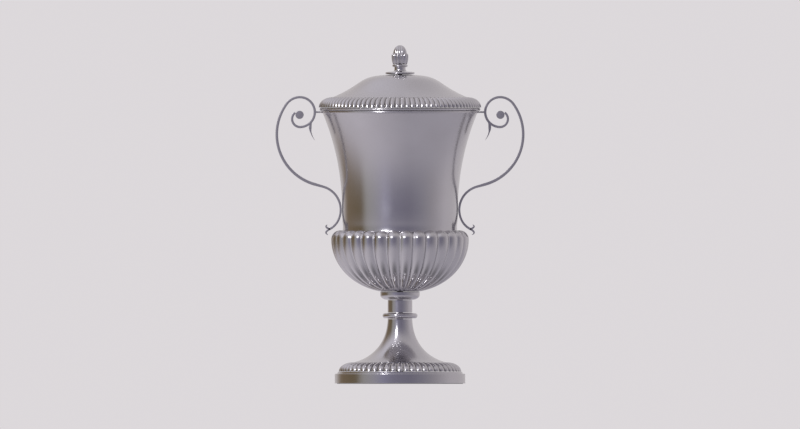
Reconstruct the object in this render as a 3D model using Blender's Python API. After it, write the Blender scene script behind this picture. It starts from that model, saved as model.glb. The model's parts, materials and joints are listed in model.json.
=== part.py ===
"""A two-handled trophy cup with a lift-off cover, as separate pieces.

Units are metres, +Z is up, and the handles spread along X. The origin is the centre of the felt's
underside, where the trophy stands. Every turned piece shares the Z axis. The pieces stack from the
felt upwards, so each height is worked out from the one below it.
"""

import math

import bmesh
import bpy
import numpy as np

MM = 0.001
TAU = 2 * math.pi

# Clearances
GAP = 0.3 * MM  # between pieces that touch
ROD_CLEARANCE = 0.4 * MM  # round the tie rod and the finial stud
BEZEL_CLEARANCE = 0.5 * MM  # between the cover's sleeve and the mouth

# Sheet and section thicknesses
SHEET = 1.2 * MM

# Fasteners
ROD_RADIUS = 3.0 * MM
ROD_NUT_FLATS = 2 * ROD_RADIUS + 4.0 * MM
ROD_NUT_HEIGHT = 3.0 * MM
ROD_END_SPACE = 0.3 * MM  # under the rod's lower end
CUP_NUT_HEIGHT = 6.0 * MM
WASHER_THICKNESS = 1.0 * MM
ROD_WASHER_RADIUS = ROD_NUT_FLATS / 2 + 4.0 * MM
STUD_RADIUS = 2.0 * MM
STUD_NUT_FLATS = 2 * STUD_RADIUS + 3.0 * MM
STUD_NUT_HEIGHT = 3.2 * MM
STUD_WASHER_RADIUS = STUD_NUT_FLATS / 2 + 1.5 * MM
STUD_GRIP = 7.0 * MM  # length of stud inside the bud

# Base
PLINTH_RADIUS = 65.2 * MM
PLINTH_WALL = 1.8 * MM
PLINTH_EDGE = 0.8 * MM  # rounding of the upper edge
PLINTH_STEP = 2.9 * MM  # how far the upper step stands in from the edge
PLINTH_STEP_HEIGHT = 2.0 * MM
PLINTH_TOP = 1.6 * MM
PLINTH_OPENING = ROD_WASHER_RADIUS + 3.0 * MM
RIM_LIFT = 0.4 * MM  # the felt stands this much proud of the plinth's edge
FELT_THICKNESS = 1.5 * MM
COVER_THICKNESS = 1.2 * MM
ANCHOR_THICKNESS = 2.2 * MM
ANCHOR_MARGIN = 3.0 * MM

# Foot and stem
STEM_RADIUS = 12.3 * MM
GADROON_RADIUS = PLINTH_RADIUS - 4.0 * MM
GADROON_HEIGHT = 9.2 * MM
GADROON_LOBES = 56
GADROON_DEPTH = 1.3 * MM
FOOT_RIM_RADIUS = GADROON_RADIUS - 14.7 * MM
FOOT_FLARE_HEIGHT = 43.2 * MM
FLARE_TOP_PULL = (1.2 * MM, 0.18)  # outwards, and the share of the flare's height it lies at
FLARE_RIM_PULL = (3.5 * MM, 0.5 * MM)  # inwards and upwards
KNOP_RADIUS = STEM_RADIUS + 5.2 * MM
KNOP_BEAD = 2.6 * MM
KNOP_HEIGHT = 6.2 * MM
STEM_HEIGHT = 12.2 * MM
SOCKET_RADIUS = STEM_RADIUS + 7.5 * MM
SOCKET_HEIGHT = 8.0 * MM
SOCKET_BAND = 3.0 * MM

# Cup
WAIST_RADIUS = 57.9 * MM
WAIST_HEIGHT = 80.2 * MM  # above the underside of the cup
MOUTH_RADIUS = 78.2 * MM
CUP_HEIGHT = 179 * MM
BOWL_RADIUS = WAIST_RADIUS + 10.9 * MM
BOWL_FLOOR_RADIUS = SOCKET_RADIUS - 0.8 * MM
CUP_FLOOR_RADIUS = BOWL_FLOOR_RADIUS - 3.0 * MM
BOWL_CURVE_CENTRE = BOWL_FLOOR_RADIUS - 11.0 * MM  # radius that the underside's ellipse is centred on
BOWL_WIDEST = 52.2 * MM  # height of the widest place above the bowl's underside
BOWL_SHOULDER = 9.0 * MM
BOWL_LOBES = 30
BOWL_LOBE_DEPTH = 2.9 * MM
LIP_PROUD = 1.7 * MM
LIP_HEIGHT = 2.2 * MM
LIP_BULGE = 0.5 * MM

# Cover
RIM_RADIUS = MOUTH_RADIUS + 2.3 * MM
RIM_THICKNESS = 2.9 * MM
RIM_WIDTH = 7.0 * MM
BEZEL_DEPTH = 8.0 * MM
LID_GADROON_RADIUS = RIM_RADIUS + 0.8 * MM
LID_GADROON_HEIGHT = 10.2 * MM
LID_GADROON_LOBES = 96
LID_GADROON_DEPTH = 0.9 * MM
DOME_FOOT_RADIUS = LID_GADROON_RADIUS - 13.3 * MM
DOME_HEIGHT = 22.5 * MM  # from the border's top to the crown
DOME_CROWN_PULL = 0.63  # share of the dome's radius that the flat of its crown is drawn out to
DOME_FOOT_PULL = (0.51, 0.6)  # shares of the dome's radius and height

# Finial
NECK_RADIUS = 5.6 * MM
NECK_FLARE = NECK_RADIUS + 3.4 * MM
NECK_HEIGHT = 4.2 * MM
COLLAR_RADIUS = NECK_RADIUS + 2.1 * MM
COLLAR_HEIGHT = 2.8 * MM
PLATE_RADIUS = NECK_FLARE + 5.7 * MM
PLATE_THICKNESS = 2.8 * MM
BUD_RADIUS = COLLAR_RADIUS + 0.9 * MM
BUD_FOOT_RADIUS = BUD_RADIUS - 2.0 * MM
BUD_HEIGHT = 18.9 * MM
BUD_WIDEST = 7.6 * MM
BUD_PETALS = 12
BUD_PETAL_DEPTH = 0.5 * MM

# Handles: the strap is drawn in millimetres, as arcs of (radius, turn in degrees, thickness at the
# end), from the eye of the volute to the fork at its foot. A negative turn is clockwise, seen from the
# front of the right handle. One straight run joins the volute's arcs to the foot's.
STRAP_WIDTH = 8.0 * MM
STRAP_START_HEADING = -37.2
STRAP_START_THICKNESS = 2.2
VOLUTE_ARCS = ((8.0, -145.0, 2.4), (14.9, -184.0, 2.4), (16.5, -48.0, 2.5), (51.7, -110.0, 2.9))
FOOT_START_THICKNESS = 2.4
FOOT_ARCS = ((23.9, 99.0, 2.1), (19.5, 39.0, 2.3))
NEAREST_HEADING = -270.0  # where the volute comes nearest to the lip
CONTACT_HEADING = -450.0  # where the foot touches the waist
BOSS_RADIUS = 4.1
BOSS_OFFSET = (-4.3, -2.2)  # from the start of the arcs to the centre of the eye
BOSS_PROUD = 0.8 * MM
LEAF_OFFSET = (3.8, -14.0)  # from the volute's nearest point to the cup
LEAF_HEADING = -80.0
LEAF_ARC = (19.1, -44.0)
LEAF_HALF_WIDTH = 1.4
LEAF_ROOT_SHARE = 0.35  # how far along its swelling the leaf starts
LEAF_TIP_SHARE = 0.97  # and where it is cut off
LEAF_FULLNESS = 0.8
FORK_REACH = 4.0
FORK_SPREAD = 5.0
FORK_BARB = ((0.5, 0.55), (0.2, 0.95), (0.45, 1.0), (1.0, 0.55))  # shares of the reach and spread
FORK_NOTCH = 0.45  # share of the reach
BRACKET_LENGTH = 3.5 * MM
BRACKET_THICKNESS = 1.7 * MM

# Smoothness
LARGE_STEPS = 32
SMALL_STEPS = 20
NUT_STEPS = 12
STEPS_PER_LOBE = 2
FLARE_STEPS = 9  # down the foot's flare, and down the dome
BOWL_STEPS = 6  # under the bowl, outside and inside alike, so that its wall stays even
BOSS_STEPS = 24
HEADING_STEP = 10  # degrees between the stations of a strap
SMOOTH_ANGLE = math.radians(32)

# Heights, from the felt upwards
Z_COVER = FELT_THICKNESS + GAP
Z_ROD_END = Z_COVER + COVER_THICKNESS + ROD_END_SPACE
Z_FOOT_NUT = Z_ROD_END
Z_FOOT_WASHER = Z_FOOT_NUT + ROD_NUT_HEIGHT + GAP
Z_ANCHOR = Z_FOOT_WASHER + WASHER_THICKNESS + GAP
Z_PLINTH_TOP = Z_ANCHOR + ANCHOR_THICKNESS + GAP + PLINTH_TOP
Z_FOOT = Z_PLINTH_TOP + GAP
Z_FOOT_FLARE = Z_FOOT + GADROON_HEIGHT
Z_FOOT_TOP = Z_FOOT_FLARE + FOOT_FLARE_HEIGHT
Z_KNOP = Z_FOOT_TOP + GAP
Z_STEM = Z_KNOP + KNOP_HEIGHT + GAP
Z_SOCKET = Z_STEM + STEM_HEIGHT + GAP
Z_BOWL = Z_SOCKET + SOCKET_HEIGHT + GAP
Z_CUP = Z_BOWL + SHEET + GAP
Z_WAIST = Z_CUP + WAIST_HEIGHT
Z_MOUTH = Z_CUP + CUP_HEIGHT
Z_CUP_WASHER = Z_CUP + SHEET + GAP
Z_CUP_NUT = Z_CUP_WASHER + WASHER_THICKNESS + GAP
Z_RIM = Z_MOUTH + GAP
Z_LID_GADROON = Z_RIM + RIM_THICKNESS + GAP
Z_DOME_FOOT = Z_LID_GADROON + LID_GADROON_HEIGHT
Z_CROWN = Z_DOME_FOOT + DOME_HEIGHT
Z_PLATE = Z_CROWN + GAP
Z_NECK = Z_PLATE + PLATE_THICKNESS + GAP
Z_BUD = Z_NECK + NECK_HEIGHT + COLLAR_HEIGHT + GAP
Z_STUD_WASHER = Z_CROWN - SHEET - GAP - WASHER_THICKNESS
Z_STUD_NUT = Z_STUD_WASHER - GAP - STUD_NUT_HEIGHT

ROD_BORE = ROD_RADIUS + ROD_CLEARANCE
STUD_BORE = STUD_RADIUS + ROD_CLEARANCE


# Scene, materials and mesh helpers

def clear_scene():
    for obj in list(bpy.data.objects):
        bpy.data.objects.remove(obj, do_unlink=True)


def material(name, colour, roughness, metallic):
    made = bpy.data.materials.new(name)
    made.use_nodes = True
    shader = made.node_tree.nodes["Principled BSDF"]
    shader.inputs["Base Color"].default_value = (*colour, 1)
    shader.inputs["Roughness"].default_value = roughness
    shader.inputs["Metallic"].default_value = metallic
    return made


def frame(name, height):
    """An empty on the Z axis, which carries the pieces of one body."""
    empty = bpy.data.objects.new(name, None)
    empty.location = (0, 0, height)
    bpy.context.collection.objects.link(empty)
    return empty


def finish_piece(name, mesh, finish, parent):
    """Turns a bmesh in world coordinates into a smooth-shaded object under its frame."""
    bmesh.ops.recalc_face_normals(mesh, faces=mesh.faces)
    bmesh.ops.translate(mesh, verts=mesh.verts, vec=-parent.location)
    data = bpy.data.meshes.new(name)
    mesh.to_mesh(data)
    mesh.free()
    data.shade_smooth()
    data.set_sharp_from_angle(angle=SMOOTH_ANGLE)
    data.materials.append(finish)
    obj = bpy.data.objects.new(name, data)
    obj.parent = parent
    bpy.context.collection.objects.link(obj)
    return obj


def turned(name, outline, finish, parent, steps=LARGE_STEPS, pattern=None):
    """Spins a closed outline of (radius, height) points round the Z axis.

    A point may have a third value: how much of pattern(angle) is added to its radius.
    """
    mesh = bmesh.new()
    weight = mesh.verts.layers.float.new("pattern")
    corners = []
    for point in outline:
        corner = mesh.verts.new((point[0], 0, point[1]))
        corner[weight] = point[2] if len(point) > 2 else 0.0
        corners.append(corner)
    edges = [mesh.edges.new(pair) for pair in zip(corners, corners[1:] + corners[:1])]
    bmesh.ops.spin(
        mesh, geom=corners + edges, cent=(0, 0, 0), axis=(0, 0, 1), angle=TAU, steps=steps, use_merge=True
    )
    if pattern:
        for corner in mesh.verts:
            radius = math.hypot(corner.co.x, corner.co.y)
            if corner[weight] and radius:
                angle = math.atan2(corner.co.y, corner.co.x)
                corner.co.xy *= 1 + corner[weight] * pattern(angle) / radius
    bmesh.ops.remove_doubles(mesh, verts=mesh.verts, dist=1e-7)
    return finish_piece(name, mesh, finish, parent)


def extruded(name, outline, depth, finish, parent):
    """A closed outline of (x, z) points, given its depth along Y, half of it on each side."""
    mesh = bmesh.new()
    face = mesh.faces.new([mesh.verts.new((x, -depth / 2, z)) for x, z in outline])
    sides = bmesh.ops.extrude_face_region(mesh, geom=[face])
    moved = [item for item in sides["geom"] if isinstance(item, bmesh.types.BMVert)]
    bmesh.ops.translate(mesh, verts=moved, vec=(0, depth, 0))
    return finish_piece(name, mesh, finish, parent)


# Curves

def ellipse(centre, radii, start, end, steps):
    """Points on an ellipse, from one angle in degrees to another."""
    angles = np.radians(np.linspace(start, end, steps + 1))
    return [(centre[0] + radii[0] * math.cos(a), centre[1] + radii[1] * math.sin(a)) for a in angles]


def bezier(start, pull, push, end, steps):
    """Points on a cubic curve, with its two handles between its ends."""
    points = []
    for t in np.linspace(0, 1, steps + 1):
        u = 1 - t
        shares = (u**3, 3 * u * u * t, 3 * u * t * t, t**3)
        corners = (start, pull, push, end)
        points.append(tuple(sum(s * c[axis] for s, c in zip(shares, corners)) for axis in (0, 1)))
    return points


def offset(points, distance):
    """The same open line of points, moved sideways to its right by a distance."""
    moved = []
    for i, (x, z) in enumerate(points):
        before = points[max(i - 1, 0)]
        after = points[min(i + 1, len(points) - 1)]
        heading = math.atan2(after[1] - before[1], after[0] - before[0])
        moved.append((x + distance * math.sin(heading), z - distance * math.cos(heading)))
    return moved


def lobes(count, groove_in_front=True):
    """0 on the crest of each lobe and -1 in each groove, for round lobes that meet in sharp grooves."""
    shift = 0 if groove_in_front else math.pi / 2
    return lambda angle: abs(math.sin((angle + math.pi / 2) * count / 2 + shift)) - 1


def hexagon(angle):
    """What a hexagon of flat radius 1 adds to a circle of radius 1."""
    from_flat = (angle + math.pi / 6) % (math.pi / 3) - math.pi / 6
    return 1 / math.cos(from_flat) - 1


def washer(name, inner, outer, bottom, thickness, finish, parent, steps=SMALL_STEPS):
    top = bottom + thickness
    return turned(name, [(outer, top), (outer, bottom), (inner, bottom), (inner, top)], finish, parent, steps)


def nut(name, bore, flats, bottom, height, finish, parent):
    top = bottom + height
    side = flats / 2
    outline = [(side, top, side), (side, bottom, side), (bore, bottom), (bore, top)]
    return turned(name, outline, finish, parent, NUT_STEPS, hexagon)


# Base

def make_base(parent, silver, steel, felt):
    inside = PLINTH_RADIUS - PLINTH_WALL
    step_radius = PLINTH_RADIUS - PLINTH_STEP
    shoulder = Z_PLINTH_TOP - PLINTH_STEP_HEIGHT
    corner = (PLINTH_RADIUS - PLINTH_EDGE, shoulder - PLINTH_EDGE)
    outline = [(step_radius, Z_PLINTH_TOP), (step_radius, shoulder)]
    outline += ellipse(corner, (PLINTH_EDGE, PLINTH_EDGE), 90, 0, 2)
    outline += [(PLINTH_RADIUS, RIM_LIFT), (inside, RIM_LIFT)]
    outline += [(inside, Z_PLINTH_TOP - PLINTH_TOP), (PLINTH_OPENING, Z_PLINTH_TOP - PLINTH_TOP)]
    outline += [(PLINTH_OPENING, Z_PLINTH_TOP)]
    turned("plinth", outline, silver, parent)

    disc = inside - GAP
    turned("felt_pad", [(disc, FELT_THICKNESS), (disc, 0), (0, 0), (0, FELT_THICKNESS)], felt, parent)
    cover_top = Z_COVER + COVER_THICKNESS
    turned("base_cover", [(disc, cover_top), (disc, Z_COVER), (0, Z_COVER), (0, cover_top)], steel, parent)
    anchor_radius = inside - ANCHOR_MARGIN
    washer("anchor_plate", ROD_BORE, anchor_radius, Z_ANCHOR, ANCHOR_THICKNESS, steel, parent, LARGE_STEPS)
    washer("tie_rod_foot_washer", ROD_BORE, ROD_WASHER_RADIUS, Z_FOOT_WASHER, WASHER_THICKNESS, steel, parent)
    nut("tie_rod_foot_nut", ROD_BORE, ROD_NUT_FLATS, Z_FOOT_NUT, ROD_NUT_HEIGHT, steel, parent)


def gadroon(name, outer, height, inner_bottom, inner_top, bottom, count, depth, finish, parent, front_groove):
    """A lobed border: a quarter ellipse outside, and a plain slope inside."""
    top = bottom + height
    curve = ellipse((inner_top, bottom), (outer - inner_top, height), 90, 0, 3)
    reach = outer - inner_top
    outline = [(r, z, depth * math.sin(math.pi / 2 * (r - inner_top) / reach)) for r, z in curve]
    outline += [(inner_bottom, bottom), (inner_top, top - GAP)]
    turned(name, outline, finish, parent, STEPS_PER_LOBE * count, lobes(count, front_groove))


def make_foot(parent, silver):
    skirt = FOOT_RIM_RADIUS
    gadroon(
        "foot_gadroon", GADROON_RADIUS, GADROON_HEIGHT, skirt + GAP, skirt + GAP, Z_FOOT,
        GADROON_LOBES, GADROON_DEPTH, silver, parent, False,
    )
    flare = bezier(
        (STEM_RADIUS, Z_FOOT_TOP),
        (STEM_RADIUS + FLARE_TOP_PULL[0], Z_FOOT_FLARE + FLARE_TOP_PULL[1] * FOOT_FLARE_HEIGHT),
        (skirt - FLARE_RIM_PULL[0], Z_FOOT_FLARE + FLARE_RIM_PULL[1]),
        (skirt, Z_FOOT_FLARE),
        FLARE_STEPS,
    )
    inside = offset(flare, SHEET)
    inside = [(r, z) for r, z in inside if r < skirt - 2 * SHEET]
    outline = flare + [(skirt, Z_FOOT), (skirt - SHEET, Z_FOOT), (skirt - SHEET, Z_FOOT_FLARE - SHEET)]
    outline += inside[::-1]
    turned("trumpet_foot", outline, silver, parent)


# Stem

def make_stem(parent, silver, steel):
    top = Z_KNOP + KNOP_HEIGHT
    middle = Z_KNOP + KNOP_HEIGHT / 2
    outline = [(STEM_RADIUS, top)]
    outline += ellipse((KNOP_RADIUS - KNOP_BEAD, middle), (KNOP_BEAD, KNOP_BEAD), 100, -100, 6)
    outline += [(STEM_RADIUS, Z_KNOP), (ROD_BORE, Z_KNOP), (ROD_BORE, top)]
    turned("knop_ring", outline, silver, parent)
    washer("stem_tube", STEM_RADIUS - SHEET, STEM_RADIUS, Z_STEM, STEM_HEIGHT, silver, parent, LARGE_STEPS)

    top = Z_SOCKET + SOCKET_HEIGHT
    round_height = SOCKET_HEIGHT - SOCKET_BAND
    reach = SOCKET_RADIUS - STEM_RADIUS
    outline = [(SOCKET_RADIUS - GAP, top), (SOCKET_RADIUS, top - GAP)]
    outline += ellipse((STEM_RADIUS, Z_SOCKET + round_height), (reach, round_height), 0, -90, 4)
    outline += [(ROD_BORE, Z_SOCKET), (ROD_BORE, top)]
    turned("bowl_socket", outline, silver, parent)

    rod_top = Z_CUP_NUT + CUP_NUT_HEIGHT - SHEET - GAP
    turned(
        "tie_rod",
        [(ROD_RADIUS, rod_top), (ROD_RADIUS, Z_ROD_END), (0, Z_ROD_END), (0, rod_top)],
        steel, parent, SMALL_STEPS,
    )


# Cup

def cup_radius(height):
    """Outer radius of the vase, which is a circular arc above its waist and an ellipse below it."""
    if height >= Z_WAIST:
        rise = Z_MOUTH - Z_WAIST
        flare = MOUTH_RADIUS - WAIST_RADIUS
        arc = (rise * rise + flare * flare) / (2 * flare)
        return WAIST_RADIUS + arc - math.sqrt(arc * arc - (height - Z_WAIST) ** 2)
    drop = (Z_WAIST - height) / WAIST_HEIGHT
    return CUP_FLOOR_RADIUS + (WAIST_RADIUS - CUP_FLOOR_RADIUS) * math.sqrt(max(0.0, 1 - drop * drop))


def make_cup(parent, silver, steel):
    flare = [(cup_radius(z), z) for z in np.linspace(Z_MOUTH, Z_WAIST, 6)]
    floor_reach = WAIST_RADIUS - CUP_FLOOR_RADIUS
    bottom = ellipse((CUP_FLOOR_RADIUS, Z_WAIST), (floor_reach, WAIST_HEIGHT), 0, -90, 7)[1:]
    outside = flare + bottom
    inside = offset(outside, SHEET)
    inside[0] = (MOUTH_RADIUS - SHEET, Z_MOUTH)
    inside[-1] = (CUP_FLOOR_RADIUS, Z_CUP + SHEET)
    outline = outside + [(ROD_BORE, Z_CUP), (ROD_BORE, Z_CUP + SHEET)] + inside[::-1]
    turned("cup_body", outline, silver, parent)

    bore = MOUTH_RADIUS + GAP
    outer = MOUTH_RADIUS + LIP_PROUD
    middle = Z_MOUTH - LIP_HEIGHT / 2
    edge = outer - LIP_BULGE
    outline = [(edge, Z_MOUTH)] + ellipse((edge, middle), (LIP_BULGE, LIP_HEIGHT / 2), 60, -60, 2)
    outline += [(edge, Z_MOUTH - LIP_HEIGHT), (bore, Z_MOUTH - LIP_HEIGHT), (bore, Z_MOUTH)]
    turned("lip_ring", outline, silver, parent)

    washer("tie_rod_cup_washer", ROD_BORE, ROD_WASHER_RADIUS, Z_CUP_WASHER, WASHER_THICKNESS, steel, parent)
    make_cup_nut(parent, steel)


def make_cup_nut(parent, steel):
    """A hexagon nut with a domed, closed top."""
    side = ROD_NUT_FLATS / 2
    flat = Z_CUP_NUT + CUP_NUT_HEIGHT / 2
    top = Z_CUP_NUT + CUP_NUT_HEIGHT
    pocket = top - SHEET
    outline = ellipse((0, flat), (side - GAP, top - flat), 90, 0, 4)
    outline += [(side, flat, side), (side, Z_CUP_NUT, side)]
    outline += [(ROD_BORE, Z_CUP_NUT), (ROD_BORE, pocket), (0, pocket)]
    turned("tie_rod_cup_nut", outline, steel, parent, NUT_STEPS, hexagon)


def bowl_underside(widest_radius, floor_height):
    """Points from the widest place down to the edge of the floor, on an ellipse that would close below it."""
    widest = Z_BOWL + BOWL_WIDEST
    reach = widest_radius - BOWL_CURVE_CENTRE
    at_floor = math.acos((BOWL_FLOOR_RADIUS - BOWL_CURVE_CENTRE) / reach)
    drop = (widest - floor_height) / math.sin(at_floor)
    return ellipse((BOWL_CURVE_CENTRE, widest), (reach, drop), 0, -math.degrees(at_floor), BOWL_STEPS)


def make_bowl(parent, silver):
    """The lobed bowl: an ellipse below its widest place, and a rounded shoulder that turns in to the cup."""
    widest = Z_BOWL + BOWL_WIDEST
    shoulder_centre = (BOWL_RADIUS - BOWL_SHOULDER, widest)
    neck = max(cup_radius(widest + share * BOWL_SHOULDER) for share in (0.5, 1.0)) + GAP
    top = widest + BOWL_SHOULDER
    shoulder = ellipse(shoulder_centre, (BOWL_SHOULDER, BOWL_SHOULDER), 90, 0, 3)
    outside = shoulder + bowl_underside(BOWL_RADIUS, Z_BOWL)[1:]
    reach = BOWL_RADIUS - BOWL_FLOOR_RADIUS
    shares = [max(0.0, r - BOWL_FLOOR_RADIUS) / reach for r, _ in outside]
    outline = [(r, z, BOWL_LOBE_DEPTH * math.sqrt(share)) for (r, z), share in zip(outside, shares)]
    wall = BOWL_LOBE_DEPTH + SHEET
    floor = Z_BOWL + SHEET
    outline += [(ROD_BORE, Z_BOWL), (ROD_BORE, floor)]
    outline += bowl_underside(BOWL_RADIUS - wall, floor)[::-1]
    outline += [(neck, top - wall), (neck, top)]
    turned("fluted_bowl", outline, silver, parent, STEPS_PER_LOBE * BOWL_LOBES, lobes(BOWL_LOBES))


# Handles

def headings(start, turn):
    """The headings of an arc's stations: each whole step of heading within it, and its end."""
    low, high = sorted((start, start + turn))
    steps = range(math.floor(low / HEADING_STEP) + 1, math.ceil(high / HEADING_STEP))
    within = [HEADING_STEP * step for step in steps]
    return (within if turn > 0 else within[::-1]) + [start + turn]


def run_arcs(point, heading, thickness, arcs):
    """Follows arcs of (radius, turn, end thickness) and returns stations of (x, z, heading, thickness)."""
    stations = [(*point, heading, thickness)]
    for radius, turn, end_thickness in arcs:
        x, z, start, from_thickness = stations[-1]
        side = math.copysign(radius, turn)
        centre = (x - side * math.sin(math.radians(start)), z + side * math.cos(math.radians(start)))
        for angle in headings(start, turn):
            stations.append((
                centre[0] + side * math.sin(math.radians(angle)),
                centre[1] - side * math.cos(math.radians(angle)),
                angle,
                from_thickness + (end_thickness - from_thickness) * (angle - start) / turn,
            ))
    return stations


def station_heading(stations, heading):
    """The first station that faces this way, between two stations where it has to be."""
    for before, after in zip(stations, stations[1:]):
        low, high = sorted((before[2], after[2]))
        if low <= heading <= high and low < high:
            share = (heading - before[2]) / (after[2] - before[2])
            return tuple(a + (b - a) * share for a, b in zip(before, after))
    raise ValueError("the strap never faces that way")


def strap_route():
    """The strap's stations in metres, and the scale of the scroll.

    The volute's nearest point stands off the lip by the bracket, and the foot touches the waist. The
    scroll's scale and the length of its one straight stretch are what meets both.
    """
    volute = run_arcs((0, 0), STRAP_START_HEADING, STRAP_START_THICKNESS, VOLUTE_ARCS)
    foot = run_arcs(volute[-1][:2], volute[-1][2], FOOT_START_THICKNESS, FOOT_ARCS)
    near = station_heading(volute, NEAREST_HEADING)
    contact = station_heading(foot, CONTACT_HEADING)
    straight = math.radians(volute[-1][2])
    span = (
        WAIST_RADIUS + GAP - (MOUTH_RADIUS + LIP_PROUD + BRACKET_LENGTH + 2 * GAP),
        Z_WAIST - (Z_MOUTH - LIP_HEIGHT / 2),
    )
    half = (contact[3] - near[3]) / 2
    system = np.array([
        [contact[0] - near[0] - half, math.cos(straight)],
        [contact[1] - near[1], math.sin(straight)],
    ])
    scale, run = np.linalg.solve(system, np.array(span))
    start_x = MOUTH_RADIUS + LIP_PROUD + BRACKET_LENGTH + 2 * GAP + (near[3] / 2 - near[0]) * scale
    start_z = Z_MOUTH - LIP_HEIGHT / 2 - near[1] * scale
    shift = (run * math.cos(straight), run * math.sin(straight))
    route = [(start_x + x * scale, start_z + z * scale, h, t * scale) for x, z, h, t in volute]
    route += [
        (start_x + x * scale + shift[0], start_z + z * scale + shift[1], h, t * scale) for x, z, h, t in foot
    ]
    return route, scale, (start_x, start_z)


def strap_outline(stations):
    """The left and right edges of a strap of changing thickness, each as a line of points."""
    left, right = [], []
    for x, z, heading, thickness in stations:
        across = math.radians(heading + 90)
        left.append((x + thickness / 2 * math.cos(across), z + thickness / 2 * math.sin(across)))
        right.append((x - thickness / 2 * math.cos(across), z - thickness / 2 * math.sin(across)))
    return left, right


def strap(name, stations, side, finish, parent):
    """A rectangular strap that follows its stations, built as a closed band of quads."""
    left, right = strap_outline(stations)
    half = STRAP_WIDTH / 2
    mesh = bmesh.new()
    rings = []
    for (lx, lz), (rx, rz) in zip(left, right):
        corners = ((lx, -half, lz), (lx, half, lz), (rx, half, rz), (rx, -half, rz))
        rings.append([mesh.verts.new((side * x, y, z)) for x, y, z in corners])
    for ring, following in zip(rings, rings[1:]):
        for i in range(4):
            mesh.faces.new((ring[i], ring[i - 1], following[i - 1], following[i]))
    mesh.faces.new(rings[0])
    mesh.faces.new(rings[-1])
    return finish_piece(name, mesh, finish, parent)


def make_handle(side_name, side, parent, silver):
    route, scale, start = strap_route()

    eye = (start[0] + BOSS_OFFSET[0] * scale, start[1] + BOSS_OFFSET[1] * scale)
    boss_radius = BOSS_RADIUS * scale
    clear = [s for s in route if math.hypot(s[0] - eye[0], s[1] - eye[1]) > boss_radius + s[3] / 2 + GAP]
    strap(side_name + "_handle_scroll", clear, side, silver, parent)

    last_angle = 360 - 360 / BOSS_STEPS
    boss = ellipse((side * eye[0], eye[1]), (boss_radius, boss_radius), 0, last_angle, BOSS_STEPS - 1)
    extruded(side_name + "_handle_boss", boss, STRAP_WIDTH + 2 * BOSS_PROUD, silver, parent)

    near = station_heading(route, NEAREST_HEADING)
    make_leaf(side_name, side, near, scale, parent, silver)
    make_fork(side_name, side, route[-1], scale, parent, silver)

    inner = MOUTH_RADIUS + LIP_PROUD + GAP
    low = Z_MOUTH - LIP_HEIGHT / 2 - BRACKET_THICKNESS / 2
    high = low + BRACKET_THICKNESS
    corners = [(inner, low), (inner + BRACKET_LENGTH, low), (inner + BRACKET_LENGTH, high), (inner, high)]
    bar = [(side * x, z) for x, z in corners]
    extruded(side_name + "_handle_bracket", bar, STRAP_WIDTH, silver, parent)


def make_leaf(side_name, side, near, scale, parent, silver):
    """A curved leaf that swells and then runs out to a point."""
    root = (near[0] + LEAF_OFFSET[0] * scale, near[1] + LEAF_OFFSET[1] * scale)
    radius, turn = LEAF_ARC
    spine = run_arcs(root, LEAF_HEADING, 0, [(radius * scale, turn, 0)])
    swollen = []
    for x, z, heading, _ in spine:
        share = LEAF_ROOT_SHARE + (1 - LEAF_ROOT_SHARE) * (heading - LEAF_HEADING) / turn
        swelling = math.sin(math.pi * min(share, LEAF_TIP_SHARE)) ** LEAF_FULLNESS
        width = 2 * LEAF_HALF_WIDTH * scale * swelling
        swollen.append((x, z, heading, width))
    strap(side_name + "_handle_leaf", swollen, side, silver, parent)


def make_fork(side_name, side, end, scale, parent, silver):
    """The forked foot: two barbs that curl back towards the handle."""
    reach = FORK_REACH * scale
    spread = FORK_SPREAD * scale
    stem = end[3] / 2
    upper = [(0, stem)] + [(reach * x, spread * z) for x, z in FORK_BARB]
    lower = [(x, -z) for x, z in reversed(upper)]
    outline = upper + [(FORK_NOTCH * reach, 0)] + lower
    root_x = end[0] + GAP + stem * abs(math.sin(math.radians(end[2])))
    placed = [(side * (root_x + x), end[1] + z) for x, z in outline]
    extruded(side_name + "_handle_fishtail", placed, STRAP_WIDTH, silver, parent)


# Cover

def make_lid(parent, silver):
    edge = RIM_THICKNESS / 2
    top = Z_RIM + RIM_THICKNESS
    inner = RIM_RADIUS - RIM_WIDTH
    outline = ellipse((RIM_RADIUS - edge, Z_RIM + edge), (edge, edge), 90, -90, 4)
    outline += [(inner, Z_RIM), (inner, top)]
    turned("lid_rim", outline, silver, parent)

    heights = np.linspace(Z_MOUTH, Z_MOUTH - BEZEL_DEPTH, 3)
    outside = [(cup_radius(z) - SHEET - BEZEL_CLEARANCE, z) for z in heights]
    inside = [(r - SHEET, z) for r, z in outside]
    turned("lid_bezel", outside + inside[::-1], silver, parent)

    slope = RIM_RADIUS - RIM_WIDTH + 2 * SHEET
    gadroon(
        "lid_gadroon", LID_GADROON_RADIUS, LID_GADROON_HEIGHT, slope + GAP, DOME_FOOT_RADIUS, Z_LID_GADROON,
        LID_GADROON_LOBES, LID_GADROON_DEPTH, silver, parent, True,
    )
    outside = bezier(
        (PLATE_RADIUS / 2, Z_CROWN),
        (DOME_CROWN_PULL * DOME_FOOT_RADIUS, Z_CROWN),
        (DOME_FOOT_PULL[0] * DOME_FOOT_RADIUS, Z_DOME_FOOT + DOME_FOOT_PULL[1] * DOME_HEIGHT),
        (DOME_FOOT_RADIUS - 2 * GAP, Z_DOME_FOOT),
        FLARE_STEPS,
    )
    inside = offset(outside, SHEET)
    inside[0] = (PLATE_RADIUS / 2, Z_CROWN - SHEET)
    skirt = slope - GAP
    outline = outside + [(skirt, Z_LID_GADROON), (skirt - SHEET, Z_LID_GADROON)] + inside[::-1]
    outline += [(STUD_BORE, Z_CROWN - SHEET), (STUD_BORE, Z_CROWN)]
    turned("lid_dome", outline, silver, parent)


# Finial

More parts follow.
